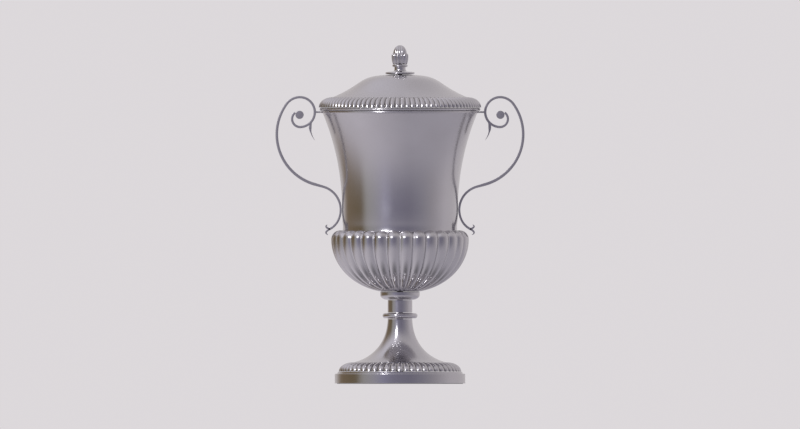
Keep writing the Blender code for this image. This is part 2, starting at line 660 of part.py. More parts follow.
def make_finial(parent, silver, steel):
    edge = PLATE_THICKNESS / 2
    outline = ellipse((PLATE_RADIUS - edge, Z_PLATE + edge), (edge, edge), 90, -90, 4)
    outline += [(STUD_BORE, Z_PLATE), (STUD_BORE, Z_PLATE + PLATE_THICKNESS)]
    turned("finial_plate", outline, silver, parent, SMALL_STEPS)

    waist = Z_NECK + NECK_HEIGHT
    top = waist + COLLAR_HEIGHT
    bead = COLLAR_HEIGHT / 2
    outline = ellipse((COLLAR_RADIUS - bead, waist + bead), (bead, bead), 90, -60, 4)
    sweep = (NECK_FLARE - NECK_RADIUS, NECK_HEIGHT - bead)
    outline += ellipse((NECK_FLARE, waist - bead), sweep, 180, 270, 3)
    outline += [(STUD_BORE, Z_NECK), (STUD_BORE, top)]
    turned("finial_neck", outline, silver, parent, SMALL_STEPS)

    make_bud(parent, silver)

    stud_top = Z_BUD + STUD_GRIP
    stud = [(STUD_RADIUS, stud_top), (STUD_RADIUS, Z_STUD_NUT), (0, Z_STUD_NUT), (0, stud_top)]
    turned("finial_stud", stud, steel, parent, SMALL_STEPS)
    washer("finial_washer", STUD_BORE, STUD_WASHER_RADIUS, Z_STUD_WASHER, WASHER_THICKNESS, steel, parent)
    nut("finial_nut", STUD_BORE, STUD_NUT_FLATS, Z_STUD_NUT, STUD_NUT_HEIGHT, steel, parent)


def make_bud(parent, silver):
    """The bud swells from its foot and closes in a rounded point, with petals pressed round it."""
    widest = Z_BUD + BUD_WIDEST
    above = BUD_HEIGHT - BUD_WIDEST
    pocket = Z_BUD + STUD_GRIP + GAP
    crown = ellipse((0, widest), (BUD_RADIUS, above), 90, 0, 6)
    foot = ellipse((BUD_FOOT_RADIUS, widest), (BUD_RADIUS - BUD_FOOT_RADIUS, BUD_WIDEST), 0, -90, 3)[1:]
    outline = [(r, z, BUD_PETAL_DEPTH * min(1, r / BUD_FOOT_RADIUS)) for r, z in crown + foot]
    outline += [(STUD_BORE, Z_BUD), (STUD_BORE, pocket), (0, pocket)]
    turned("finial_bud", outline, silver, parent, STEPS_PER_LOBE * BUD_PETALS, lobes(BUD_PETALS))


def main():
    clear_scene()
    silver = material("silver", (0.62, 0.61, 0.63), 0.22, 1.0)
    cast_silver = material("cast_silver", (0.53, 0.515, 0.54), 0.3, 1.0)
    steel = material("steel", (0.45, 0.45, 0.46), 0.4, 1.0)
    felt = material("felt", (0.03, 0.09, 0.05), 0.95, 0.0)
    cup = frame("cup_frame", 0)
    lid = frame("lid_frame", Z_MOUTH)
    bpy.context.view_layer.update()

    make_base(cup, silver, steel, felt)
    make_foot(cup, silver)
    make_stem(cup, silver, steel)
    make_bowl(cup, silver)
    make_cup(cup, silver, steel)
    make_handle("right", 1, cup, cast_silver)
    make_handle("left", -1, cup, cast_silver)
    make_lid(lid, silver)
    make_finial(lid, silver, steel)


main()
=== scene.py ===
"""A polished silver trophy cup with its cover, in a plain pale studio.

Lengths are in metres, +Z is up and the front faces -Y. Every piece takes its place and its main sizes
from the box of the CAD node that it stands for, and adds the curves, lobes and rounded edges.
"""

import json
import math

import bmesh
import bpy
import numpy as np
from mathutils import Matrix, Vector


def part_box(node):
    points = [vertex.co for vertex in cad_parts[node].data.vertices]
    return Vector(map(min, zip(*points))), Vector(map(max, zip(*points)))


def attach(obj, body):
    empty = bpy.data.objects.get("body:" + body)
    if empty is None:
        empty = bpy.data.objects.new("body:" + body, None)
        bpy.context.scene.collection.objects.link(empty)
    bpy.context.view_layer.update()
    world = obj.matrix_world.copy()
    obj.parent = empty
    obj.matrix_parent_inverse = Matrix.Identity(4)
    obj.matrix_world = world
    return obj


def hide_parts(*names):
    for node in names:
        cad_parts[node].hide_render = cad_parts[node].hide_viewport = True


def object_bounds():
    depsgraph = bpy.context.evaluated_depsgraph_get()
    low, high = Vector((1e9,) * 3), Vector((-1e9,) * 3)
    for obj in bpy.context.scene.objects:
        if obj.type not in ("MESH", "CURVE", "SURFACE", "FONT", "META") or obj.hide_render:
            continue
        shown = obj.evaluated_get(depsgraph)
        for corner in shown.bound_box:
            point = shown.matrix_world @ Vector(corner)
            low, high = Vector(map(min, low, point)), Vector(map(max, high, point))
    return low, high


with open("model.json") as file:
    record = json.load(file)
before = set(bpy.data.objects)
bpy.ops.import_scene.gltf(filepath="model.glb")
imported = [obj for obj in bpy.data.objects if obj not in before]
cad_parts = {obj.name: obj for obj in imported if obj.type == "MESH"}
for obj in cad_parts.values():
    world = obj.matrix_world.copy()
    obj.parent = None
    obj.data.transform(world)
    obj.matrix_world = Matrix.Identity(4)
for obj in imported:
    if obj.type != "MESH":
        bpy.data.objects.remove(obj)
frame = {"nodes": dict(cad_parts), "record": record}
cad_low, cad_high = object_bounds()

MM = 0.001
TAU = 2 * math.pi
FRONT = -math.pi / 2

BODY_OF = {
    node: body
    for body, nodes in frame["record"]["behaviour"]["bodies"].items()
    for node in nodes
}

# Smoothness
ROUND_SEGMENTS = 256
SMALL_SEGMENTS = 96
ARC_STEP = 3.0  # degrees of turn per station along a handle
SMOOTH_ANGLE = math.radians(55)

# Edges, sheet and holes
SHEET = 1.2 * MM
ROD_BORE = 3.4 * MM
STUD_BORE = 2.4 * MM
SOFT_EDGE = 0.35 * MM
FINE_EDGE = 0.15 * MM

# Radii that no node's box gives
PLINTH_OPENING = 12 * MM
BOWL_FLOOR_RADIUS = 19 * MM
BOWL_CURVE_CENTRE = BOWL_FLOOR_RADIUS - 11 * MM
DOME_FOOT_RADIUS = 68 * MM
COVER_SKIRT_RADIUS = 75.9 * MM

# Lobed bowl and borders
BOWL_LOBES = 30
BOWL_LOBE_DEPTH = 2.9 * MM
BOWL_SHOULDER = 9.0 * MM
FOOT_LOBES = 56
FOOT_LOBE_DEPTH = 1.4 * MM
COVER_LOBES = 96
COVER_LOBE_DEPTH = 1.25 * MM
LOBE_FULLNESS = 0.86  # nearer to 1 makes the lobes rounder
GROOVE_FILLET = 0.11  # share of a half lobe

# Handles, as arcs of (radius in mm, turn in degrees) from the eye of the volute to the forked foot
HANDLE_HEADING = -37.2
VOLUTE_ARCS = ((8.0, -145.0, 2.4), (14.9, -184.0, 2.4), (16.5, -48.0, 2.5), (51.7, -110.0, 2.9))
STRAIGHT_RUN = 9.03
FOOT_ARCS = ((23.9, 99.0, 2.1), (19.5, 39.0, 2.3))
STRAP_START = 2.2
STRAP_AFTER_RUN = 2.4
BOSS_RADIUS = 4.1
EYE_OFFSET = (-4.3, -2.2)
STRAP_EDGE = 0.18 * MM


# Curves

def ellipse(centre, radii, start, end, steps):
    """Points on an ellipse, from one angle in degrees to another."""
    angles = np.radians(np.linspace(start, end, steps + 1))
    return np.stack([centre[0] + radii[0] * np.cos(angles), centre[1] + radii[1] * np.sin(angles)], axis=1)


def bezier(start, pull, push, end, steps):
    """Points on a cubic curve, with its two handles between its ends."""
    t = np.linspace(0, 1, steps + 1)[:, None]
    u = 1 - t
    corners = [np.array(c, float) for c in (start, pull, push, end)]
    shares = (u**3, 3 * u * u * t, 3 * u * t * t, t**3)
    return sum(share * corner for share, corner in zip(shares, corners))


def joined(*stretches):
    """One outline from points and runs of points."""
    return np.vstack([np.atleast_2d(np.array(stretch, float)) for stretch in stretches])


def offset(line, distance):
    """An open line of points, moved sideways to its right by a distance."""
    along = np.gradient(line, axis=0)
    along /= np.linalg.norm(along, axis=1)[:, None]
    return line + distance * np.stack([along[:, 1], -along[:, 0]], axis=1)


def soften(outline, radius, sharpest=0.35, steps=4):
    """A closed outline with its sharp corners rounded, and a point beside each to keep flats flat."""
    softened = []
    count = len(outline)
    for i, corner in enumerate(outline):
        into = corner - outline[i - 1]
        out = outline[(i + 1) % count] - corner
        long_in = np.linalg.norm(into[:2])
        long_out = np.linalg.norm(out[:2])
        turn = 0.0
        if long_in > 1e-9 and long_out > 1e-9 and corner[0] > 1e-6:
            turn = math.acos(np.clip(np.dot(into[:2], out[:2]) / (long_in * long_out), -1, 1))
        if turn < sharpest:
            softened.append(corner)
            continue
        reach = min(radius, 0.42 * long_in, 0.42 * long_out)
        start = corner - into / long_in * reach
        end = corner + out / long_out * reach
        softened.append(start - into / long_in * 0.25 * reach)
        for t in np.linspace(0, 1, steps + 1):
            softened.append((1 - t) ** 2 * start + 2 * t * (1 - t) * corner + t * t * end)
        softened.append(end + out / long_out * 0.25 * reach)
    return np.array(softened)


# Meshes: a part is (corners, faces, recess), where recess runs from 0 on a crest to 1 in a groove

def lobes(angles, count, groove_in_front):
    """0 on a crest and -1 in a groove, for full round lobes with a narrow fillet in each groove."""
    turn = (angles - FRONT) * count / TAU + (0.0 if groove_in_front else 0.5)
    from_groove = 1 - np.abs(2 * (turn % 1.0) - 1)
    eased = np.sqrt(from_groove**2 + GROOVE_FILLET**2) - GROOVE_FILLET
    from_crest = 1 - eased / (math.sqrt(1 + GROOVE_FILLET**2) - GROOVE_FILLET)
    lowest = math.sqrt(1 - LOBE_FULLNESS**2)
    return (np.sqrt(1 - (LOBE_FULLNESS * from_crest) ** 2) - lowest) / (1 - lowest) - 1


def hexagon(angles):
    """What a hexagon of flat radius 1 adds to a circle of radius 1."""
    return 1 / np.cos((angles + math.pi / 6) % (math.pi / 3) - math.pi / 6) - 1


def spun(outline, segments=ROUND_SEGMENTS, depth=None, pattern=None):
    """A closed outline, down its outside and up its inside, turned round the Z axis.

    depth says how far each outline point moves along its own normal where pattern is 1.
    """
    angles = FRONT + TAU * np.arange(segments) / segments
    along = np.roll(outline, -1, axis=0) - np.roll(outline, 1, axis=0)
    along /= np.maximum(np.linalg.norm(along, axis=1), 1e-12)[:, None]
    outward = np.stack([-along[:, 1], along[:, 0]], axis=1)
    depth = np.zeros(len(outline)) if depth is None else np.asarray(depth)
    shape = np.zeros(segments) if pattern is None else pattern(angles)
    radius = np.maximum(outline[:, :1] + outward[:, :1] * depth[:, None] * shape, 0)
    height = outline[:, 1:2] + outward[:, 1:2] * depth[:, None] * shape
    corners = np.stack([radius * np.cos(angles), radius * np.sin(angles), height], axis=2).reshape(-1, 3)
    rows, columns = np.meshgrid(np.arange(len(outline)), np.arange(segments), indexing="ij")
    below = (rows + 1) % len(outline)
    beside = (columns + 1) % segments
    faces = np.stack([
        rows * segments + columns,
        below * segments + columns,
        below * segments + beside,
        rows * segments + beside,
    ], axis=2).reshape(-1, 4)
    recess = -shape[None, :] * (depth / max(depth.max(), 1e-12))[:, None]
    return corners, faces.tolist(), np.clip(recess, 0, 1).reshape(-1)


def swept(stations, half_width, edge):
    """A strap with rounded edges along stations of (x, z, heading in degrees, thickness)."""
    quarter = np.radians(np.linspace(0, 90, 4))
    corners = []
    for x, z, heading, thickness in stations:
        bend = min(edge, 0.45 * thickness)
        ring = []
        for across_sign, width_sign, flip in ((1, 1, False), (-1, 1, True), (-1, -1, False), (1, -1, True)):
            for angle in (quarter[::-1] if flip else quarter):
                across = across_sign * (thickness / 2 - bend + bend * math.cos(angle))
                ring.append((across, width_sign * (half_width - bend + bend * math.sin(angle))))
        side = math.radians(heading + 90)
        corners += [(x + a * math.cos(side), y, z + a * math.sin(side)) for a, y in ring]
    around = len(ring)
    faces = []
    for i in range(len(stations) - 1):
        for j in range(around):
            k = (j + 1) % around
            faces.append([i * around + j, i * around + k, (i + 1) * around + k, (i + 1) * around + j])
    faces.append(list(range(around))[::-1])
    faces.append([(len(stations) - 1) * around + j for j in range(around)])
    return np.array(corners), faces, np.zeros(len(corners))


def moved(part, shift=(0, 0, 0), mirror=False, along_y=False):
    """A part shifted, laid down so that its axis runs along Y, or mirrored across X."""
    corners, faces, recess = part
    if along_y:
        corners = corners[:, [0, 2, 1]] * (1, 1, -1)
    corners = corners + np.array(shift)
    if mirror:
        corners = corners * (-1, 1, 1)
        faces = [face[::-1] for face in faces]
    return corners, faces, recess


def dress(name, parts, finish, *nodes):
    """One object made of these parts, which stands for the CAD nodes and rides on their body."""
    corners = np.vstack([part[0] for part in parts])
    starts = np.cumsum([0] + [len(part[0]) for part in parts])
    faces = [[int(start + i) for i in face] for start, part in zip(starts, parts) for face in part[1]]
    mesh = bpy.data.meshes.new(name)
    mesh.from_pydata(corners.tolist(), [], faces)
    recess = mesh.attributes.new("recess", "FLOAT", "POINT")
    recess.data.foreach_set("value", np.concatenate([part[2] for part in parts]).astype(np.float32))
    welded = bmesh.new()
    welded.from_mesh(mesh)
    bmesh.ops.remove_doubles(welded, verts=welded.verts, dist=1e-7)
    bmesh.ops.recalc_face_normals(welded, faces=welded.faces)
    welded.to_mesh(mesh)
    welded.free()
    mesh.shade_smooth()
    mesh.set_sharp_from_angle(angle=SMOOTH_ANGLE)
    mesh.materials.append(finish)
    made = bpy.data.objects.new(name, mesh)
    bpy.context.collection.objects.link(made)
    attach(made, BODY_OF[nodes[0]])
    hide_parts(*nodes)
    return made


def extent(node):
    """Outer radius, bottom and top of a turned CAD node."""
    low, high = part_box(node)
    return high.x, low.z, high.z


# Materials

SILVER = (0.62, 0.605, 0.625)
CAST_SILVER = (0.50, 0.485, 0.51)
TARNISH = (0.20, 0.17, 0.14)
# Pale colour laid into the grooves of the bowl and the bud: a painted highlight.
PAINTED_GROOVE_HIGHLIGHT = (0.86, 0.85, 0.86)
# Near-black colour laid into the grooves of the foot and cover borders: a painted shade.
PAINTED_GROOVE_SHADE = (0.10, 0.09, 0.08)
LINE_STRENGTH = 0.015
CLEAN_STEEL = (0.46, 0.46, 0.47)
STAINED_STEEL = (0.27, 0.23, 0.19)
# Painted shade and painted light on the felt's pile: a dark and a lit copy of one green.
WOOL_PAINTED_SHADE = (0.012, 0.045, 0.022)
WOOL_PAINTED_LIGHT = (0.035, 0.105, 0.055)
WORN_WOOL = (0.07, 0.12, 0.08)
LINT = (0.22, 0.24, 0.2)


def nodes_of(name):
    made = bpy.data.materials.new(name)
    made.use_nodes = True
    return made, made.node_tree, made.node_tree.nodes["Principled BSDF"]


def add(tree, kind, inputs=(), **settings):
    """Adds a node. Each input is (socket, value or the socket it is linked from)."""
    node = tree.nodes.new(kind)
    for key, value in settings.items():
        setattr(node, key, value)
    for socket, value in inputs:
        if isinstance(value, bpy.types.NodeSocket):
            tree.links.new(value, node.inputs[socket])
        else:
            node.inputs[socket].default_value = value
    return node


def noise(tree, where, scale, detail=3.0, roughness=0.5):
    return add(
        tree, "ShaderNodeTexNoise",
        [("Vector", where), ("Scale", scale), ("Detail", detail), ("Roughness", roughness)],
    ).outputs["Fac"]


def ranged(tree, value, from_low, from_high, to_low, to_high):
    return add(
        tree, "ShaderNodeMapRange",
        [(0, value), (1, from_low), (2, from_high), (3, to_low), (4, to_high)],
    ).outputs[0]


def mixed(tree, share, first, second):
    return add(
        tree, "ShaderNodeMix", [("Factor", share), (6, first), (7, second)], data_type="RGBA"
    ).outputs[2]


def maths(tree, operation, first, second):
    return add(tree, "ShaderNodeMath", [(0, first), (1, second)], operation=operation).outputs[0]


def bump(tree, height, strength, distance, below=None):
    inputs = [("Height", height), ("Strength", strength), ("Distance", distance)]
    if below is not None:
        inputs.append(("Normal", below))
    return add(tree, "ShaderNodeBump", inputs).outputs["Normal"]


def silver(name, colour, smooth, rough, stretch, groove_tarnish_and_painted_light, groove_colour_start):
    """Polished silver: soft clouds of haze, fine lines and scratches, and a colour laid in the grooves.

    stretch is how far a highlight is drawn out across the circular polishing lines. The groove colour is a
    painted highlight where the pale colour is given (the bowl and the bud), a painted shade where the dark
    one is given (the borders) and tarnish on the spun and cast pieces, and it begins at the share of the
    groove's depth given by the last argument.
    """
    made, tree, shader = nodes_of(name)
    place = add(tree, "ShaderNodeTexCoord").outputs["Object"]
    cloud = noise(tree, place, 22, 4)
    grain = noise(tree, place, 260, 3)

    # Painted light in the grooves: by groove depth and grain, the groove colour is mixed over the silver as a
    # painted highlight on the bowl and bud and a painted shade on the borders.
    recess = add(tree, "ShaderNodeAttribute", attribute_name="recess").outputs["Fac"]
    deep = ranged(tree, recess, groove_colour_start, 0.97, 0.0, 0.8)
    groove_share = maths(tree, "MULTIPLY", deep, ranged(tree, grain, 0.25, 0.6, 0.5, 1.0))
    film = ranged(tree, cloud, 0.45, 0.75, 0.0, 0.06)
    worn = mixed(tree, film, (*colour, 1), (*TARNISH, 1))
    tree.links.new(mixed(tree, groove_share, worn, (*groove_tarnish_and_painted_light, 1)), shader.inputs["Base Color"])

    haze = ranged(tree, cloud, 0.3, 0.7, smooth, rough)
    fine = ranged(tree, grain, 0.3, 0.8, -0.01, 0.02)
    metal = maths(tree, "ADD", haze, fine)
    rougher = maths(tree, "MULTIPLY", groove_share, 0.25)
    tree.links.new(maths(tree, "ADD", metal, rougher), shader.inputs["Roughness"])

    stretched = add(
        tree, "ShaderNodeMapping", [("Vector", place), ("Scale", (25.0, 25.0, 900.0))]
    ).outputs["Vector"]
    lines = noise(tree, stretched, 1.0, 2)
    crossing = add(
        tree, "ShaderNodeMapping",
        [("Vector", place), ("Rotation", (0.5, 0.9, 0.3)), ("Scale", (30.0, 900.0, 30.0))],
    ).outputs["Vector"]
    scratches = ranged(tree, noise(tree, crossing, 1.0, 2), 0.70, 0.76, 0.0, 1.0)
    relief = bump(tree, lines, LINE_STRENGTH, 0.03 * MM)
    relief = bump(tree, scratches, LINE_STRENGTH, 0.02 * MM, relief)
    relief = bump(tree, cloud, 0.10, 0.5 * MM, relief)
    tree.links.new(relief, shader.inputs["Normal"])
    shader.inputs["Metallic"].default_value = 1.0
    shader.inputs["Anisotropic"].default_value = stretch
    shader.inputs["Anisotropic Rotation"].default_value = 0.25
    around = add(tree, "ShaderNodeTangent", direction_type="RADIAL", axis="Z")
    tree.links.new(around.outputs["Tangent"], shader.inputs["Tangent"])
    return made


def steel(name):
    """Machined steel: fine turning marks, oil stains and a little brown in the grain."""
    made, tree, shader = nodes_of(name)
    place = add(tree, "ShaderNodeTexCoord").outputs["Object"]
    stain = noise(tree, place, 120, 4, 0.6)
    grain = noise(tree, place, 2200, 2)
    share = ranged(tree, stain, 0.5, 0.75, 0.0, 0.5)
    stained = mixed(tree, share, (*CLEAN_STEEL, 1), (*STAINED_STEEL, 1))
    tree.links.new(stained, shader.inputs["Base Color"])
    tree.links.new(ranged(tree, stain, 0.3, 0.7, 0.32, 0.5), shader.inputs["Roughness"])
    tree.links.new(bump(tree, grain, 0.25, 0.05 * MM), shader.inputs["Normal"])
    shader.inputs["Metallic"].default_value = 1.0
    return made


def felt(name):
    """Dark green wool felt, with matted fibres whose tops are painted lighter and whose hollows are painted
    darker (painted light and shade on the pile), lint and a soft edge sheen.
    """
    made, tree, shader = nodes_of(name)
    place = add(tree, "ShaderNodeTexCoord").outputs["Object"]
    mat = noise(tree, place, 700, 6, 0.7)
    patch = noise(tree, place, 60, 3)
    lint = ranged(tree, noise(tree, place, 1500, 2), 0.68, 0.76, 0.0, 0.5)
    # Painted light and shade on the pile: the noise that raises the fibres in the bump paints their tops
    # lighter and the hollows between them darker.
    wool = mixed(tree, ranged(tree, mat, 0.3, 0.7, 0.0, 1.0), (*WOOL_PAINTED_SHADE, 1), (*WOOL_PAINTED_LIGHT, 1))
    worn = mixed(tree, ranged(tree, patch, 0.5, 0.8, 0.0, 0.3), wool, (*WORN_WOOL, 1))
    tree.links.new(mixed(tree, lint, worn, (*LINT, 1)), shader.inputs["Base Color"])
    tree.links.new(ranged(tree, mat, 0.2, 0.8, 0.85, 1.0), shader.inputs["Roughness"])
    tree.links.new(bump(tree, mat, 0.8, 0.3 * MM), shader.inputs["Normal"])
    shader.inputs["Sheen Weight"].default_value = 0.4
    shader.inputs["Sheen Roughness"].default_value = 0.5
    return made


# Base and stem

def make_base(bright, wool):
    radius, bottom, top = extent("plinth")
    _, _, felt_top = extent("felt_pad")
    step = 2.9 * MM
    shoulder = top - 2.0 * MM
    corner = 0.5 * MM
    wall = 1.8 * MM
    opening = PLINTH_OPENING
    inside = radius - wall
    ceiling = top - 1.6 * MM
    outline = joined(
        (opening, top),
        (radius - step, top),
        (radius - step, shoulder),
        ellipse((radius - corner, shoulder - corner), (corner, corner), 90, 0, 8),
        (radius, bottom),
        (inside, bottom),
        (inside, ceiling),
        (opening, ceiling),
    )
    dress("plinth_form", [spun(soften(outline, SOFT_EDGE))], bright, "plinth")

    pad = inside - 0.3 * MM
    outline = joined((0, felt_top), (pad, felt_top), (pad, 0), (0, 0))
    dress("felt_form", [spun(soften(outline, 0.6 * MM))], wool, "felt_pad")


def border(name, node, lobe_count, lobe_depth, groove_in_front, crown_radius, skirt, steps, finish):
    """A gadrooned border: full lobes that swell from the edge and round over where they meet the wall."""
    radius, bottom, top = extent(node)
    crown = ellipse((crown_radius, bottom), (radius - crown_radius, top - bottom), 90, 0, 26)
    tip = ellipse((crown_radius, top - 0.6 * MM), (0.5 * MM, 0.6 * MM), 180, 90, 3)[:-1]
    outline = joined(tip, crown, skirt)
    depth = np.full(len(outline), lobe_depth)
    depth[len(tip) + len(crown):] = 0
    depth[:len(tip)] = lobe_depth
    depth[len(tip) + len(crown) - 1] = 0.55 * lobe_depth
    part = spun(outline, lobe_count * steps, depth, lambda angles: lobes(angles, lobe_count, groove_in_front))
    return dress(name, [part], finish, node)


def make_foot(border_bright, spun_bright):
    rim, _, top = extent("trumpet_foot")
    _, bottom, flare = extent("foot_gadroon")
    neck, _, _ = extent("stem_tube")
    skirt = joined((rim + 0.3 * MM, bottom), (rim + 0.3 * MM, bottom + 2 * MM))
    border(
        "foot_border_form", "foot_gadroon", FOOT_LOBES, FOOT_LOBE_DEPTH, False,
        rim + 0.6 * MM, skirt, 14, border_bright,
    )
    curve = bezier(
        (neck, top),
        (neck + 1.2 * MM, flare + 0.18 * (top - flare)),
        (rim - 3.5 * MM, flare + 0.5 * MM),
        (rim, flare),
        60,
    )
    hidden = offset(curve, SHEET)
    hidden = hidden[hidden[:, 0] < rim - 2 * SHEET]
    outline = joined(curve, (rim, bottom), (rim - SHEET, bottom), (rim - SHEET, flare - SHEET), hidden[::-1])
    dress("trumpet_form", [spun(soften(outline, FINE_EDGE))], spun_bright, "trumpet_foot")


def make_stem(bright):
    neck, bottom, top = extent("stem_tube")
    outline = joined((neck - SHEET, top), (neck, top), (neck, bottom), (neck - SHEET, bottom))
    dress("stem_form", [spun(soften(outline, FINE_EDGE))], bright, "stem_tube")

    radius, low, high = extent("knop_ring")
    bead = 2.6 * MM
    cove = 1.1 * MM
    bore = ROD_BORE
    middle = (low + high) / 2
    shelf = middle + bead
    upper = bezier((neck, high - 0.2 * MM), (neck, shelf), (neck + cove, shelf), (radius - bead, shelf), 8)
    outline = joined(
        (neck, high),
        upper,
        ellipse((radius - bead, middle), (bead, bead), 85, -85, 30),
        upper[::-1] * (1, -1) + (0, 2 * middle),
        (neck, low),
        (bore, low),
        (bore, high),
    )
    dress("knop_form", [spun(outline)], bright, "knop_ring")

    radius, low, high = extent("bowl_socket")
    band = 3.0 * MM
    outline = joined(
        (radius - 0.4 * MM, high),
        ellipse((radius - 0.8 * MM, high - 0.8 * MM), (0.8 * MM, 0.8 * MM), 80, 0, 8),
        ellipse((neck, high - band), (radius - neck, high - band - low), 0, -90, 36),
        (bore, low),
        (bore, high),
    )
    dress("socket_form", [spun(outline)], bright, "bowl_socket")


# Cup

class Vase:
    """The cup's outer line: a circular flare above the waist and a quarter ellipse below it, which turns
    out in a small cove where it sits in the bowl."""

    waist_radius = 57.9 * MM
    waist_rise = 80.2 * MM
    mouth_radius = 78.2 * MM
    floor_radius = 16 * MM
    cove_height = 14 * MM
    cove_radius = 57.6 * MM
    cove_slope = 0.24
    seat_depth = 2 * MM

    def __init__(self):
        _, self.bottom, self.top = extent("cup_body")
        self.waist = self.bottom + self.waist_rise
        self.seat = extent("fluted_bowl")[2] - self.seat_depth

    def flare(self, height):
        rise = self.top - self.waist
        reach = self.mouth_radius - self.waist_radius
        arc = (rise * rise + reach * reach) / (2 * reach)
        return self.waist_radius + arc - np.sqrt(arc * arc - (height - self.waist) ** 2)

    def outside(self):
        heights = np.linspace(self.top, self.waist, 60)
        upper = np.stack([self.flare(heights), heights], axis=1)
        reach = self.waist_radius - self.floor_radius
        lower = ellipse((self.floor_radius, self.waist), (reach, self.waist_rise), 0, -90, 60)
        cove_top = self.seat + self.cove_height
        above = lower[1:][lower[1:, 1] > cove_top]
        below = lower[lower[:, 1] < self.seat - self.cove_height]
        start = above[-1]
        onward = (start - above[-2]) / np.linalg.norm(start - above[-2])
        lead_out = 0.35 * self.cove_height
        cove = bezier(
            start,
            start + 0.5 * self.cove_height * onward,
            (self.cove_radius - self.cove_slope * lead_out, self.seat + lead_out),
            (self.cove_radius, self.seat),
            16,
        )
        return joined(upper, above, cove[1:], (self.cove_radius, self.seat - 1.5 * MM), below)


def make_cup(bright, vase):
    outside = vase.outside()
    inside = offset(outside, SHEET)
    inside[0, 1] = vase.top
    inside[-1] = (vase.floor_radius, vase.bottom + SHEET)
    bore = ROD_BORE
    outline = joined(outside, (bore, vase.bottom), (bore, vase.bottom + SHEET), inside[::-1])
    dress("vase_form", [spun(soften(outline, FINE_EDGE))], bright, "cup_body")

    radius, low, high = extent("lip_ring")
    middle = (low + high) / 2
    bulge = 0.6 * MM
    outline = joined(
        (vase.mouth_radius - 0.1 * MM, high),
        (radius - bulge, high),
        ellipse((radius - bulge, middle), (bulge, (high - low) / 2), 75, -75, 10),
        (radius - bulge, low),
        (vase.mouth_radius - 0.6 * MM, low),
    )
    dress("lip_form", [spun(outline)], bright, "lip_ring")


def underside(radius, widest, bottom, steps):
    """Points down the bowl to the edge of its flat floor, on an ellipse that would close below it."""
    reach = radius - BOWL_CURVE_CENTRE
    at_floor = math.acos((BOWL_FLOOR_RADIUS - BOWL_CURVE_CENTRE) / reach)
    drop = (widest - bottom) / math.sin(at_floor)
    return ellipse((BOWL_CURVE_CENTRE, widest), (reach, drop), 0, -math.degrees(at_floor), steps)


def make_bowl(bright):
    radius, bottom, top = extent("fluted_bowl")
    floor_radius = BOWL_FLOOR_RADIUS
    shoulder = BOWL_SHOULDER
    widest = top - shoulder
    neck = radius - shoulder - 1.6 * MM
    over = ellipse((radius - shoulder, widest), (shoulder, shoulder), 90, 0, 20)
    under = underside(radius, widest, bottom, 60)[1:]
    tip = ellipse((neck + 0.8 * MM, top - 1.6 * MM), (1.2 * MM, 1.5 * MM), 180, 100, 5)
    outside = joined(tip, over, under)
    share = np.clip((outside[:, 0] - floor_radius) / (radius - floor_radius), 0, 1)
    depth = BOWL_LOBE_DEPTH * share**0.45
    wall = BOWL_LOBE_DEPTH + SHEET
    inner = underside(radius - wall, widest, bottom + SHEET, 20)[::-1]
    outline = joined(outside, (ROD_BORE, bottom), (ROD_BORE, bottom + SHEET), inner, (neck, top - wall))
    depths = np.zeros(len(outline))
    depths[:len(depth)] = depth
    part = spun(outline, BOWL_LOBES * 20, depths, lambda angles: lobes(angles, BOWL_LOBES, True))
    dress("bowl_form", [part], bright, "fluted_bowl")


# Handles

def stations_along(point, heading, thickness, stretches):
    """Stations (x, z, heading, thickness) along arcs of (radius, turn, end thickness), or a straight
    run where the turn is 0 and the radius is its length."""
    stations = [(*point, heading, thickness)]
    for size, turn, end_thickness in stretches:
        x, z, start, from_thickness = stations[-1]
        count = max(2, round(abs(turn) / ARC_STEP))
        for step in range(1, count + 1):
            share = step / count
            here = from_thickness + (end_thickness - from_thickness) * share
            if turn == 0:
                run = math.radians(start)
                gone = size * share
                stations.append((x + gone * math.cos(run), z + gone * math.sin(run), start, here))
                continue
            radius = math.copysign(size, turn)
            angle = start + turn * share
            swing = (math.radians(start), math.radians(angle))
            stations.append((
                x + radius * (math.sin(swing[1]) - math.sin(swing[0])),
                z - radius * (math.cos(swing[1]) - math.cos(swing[0])),
                angle,
                here,
            ))
    return stations


def curve_stations(points, thicknesses):
    """Stations along a line of points, with a thickness for each."""
    along = np.gradient(points, axis=0)
    headings = np.degrees(np.arctan2(along[:, 1], along[:, 0]))
    return [(*point, heading, thickness) for point, heading, thickness in zip(points, headings, thicknesses)]


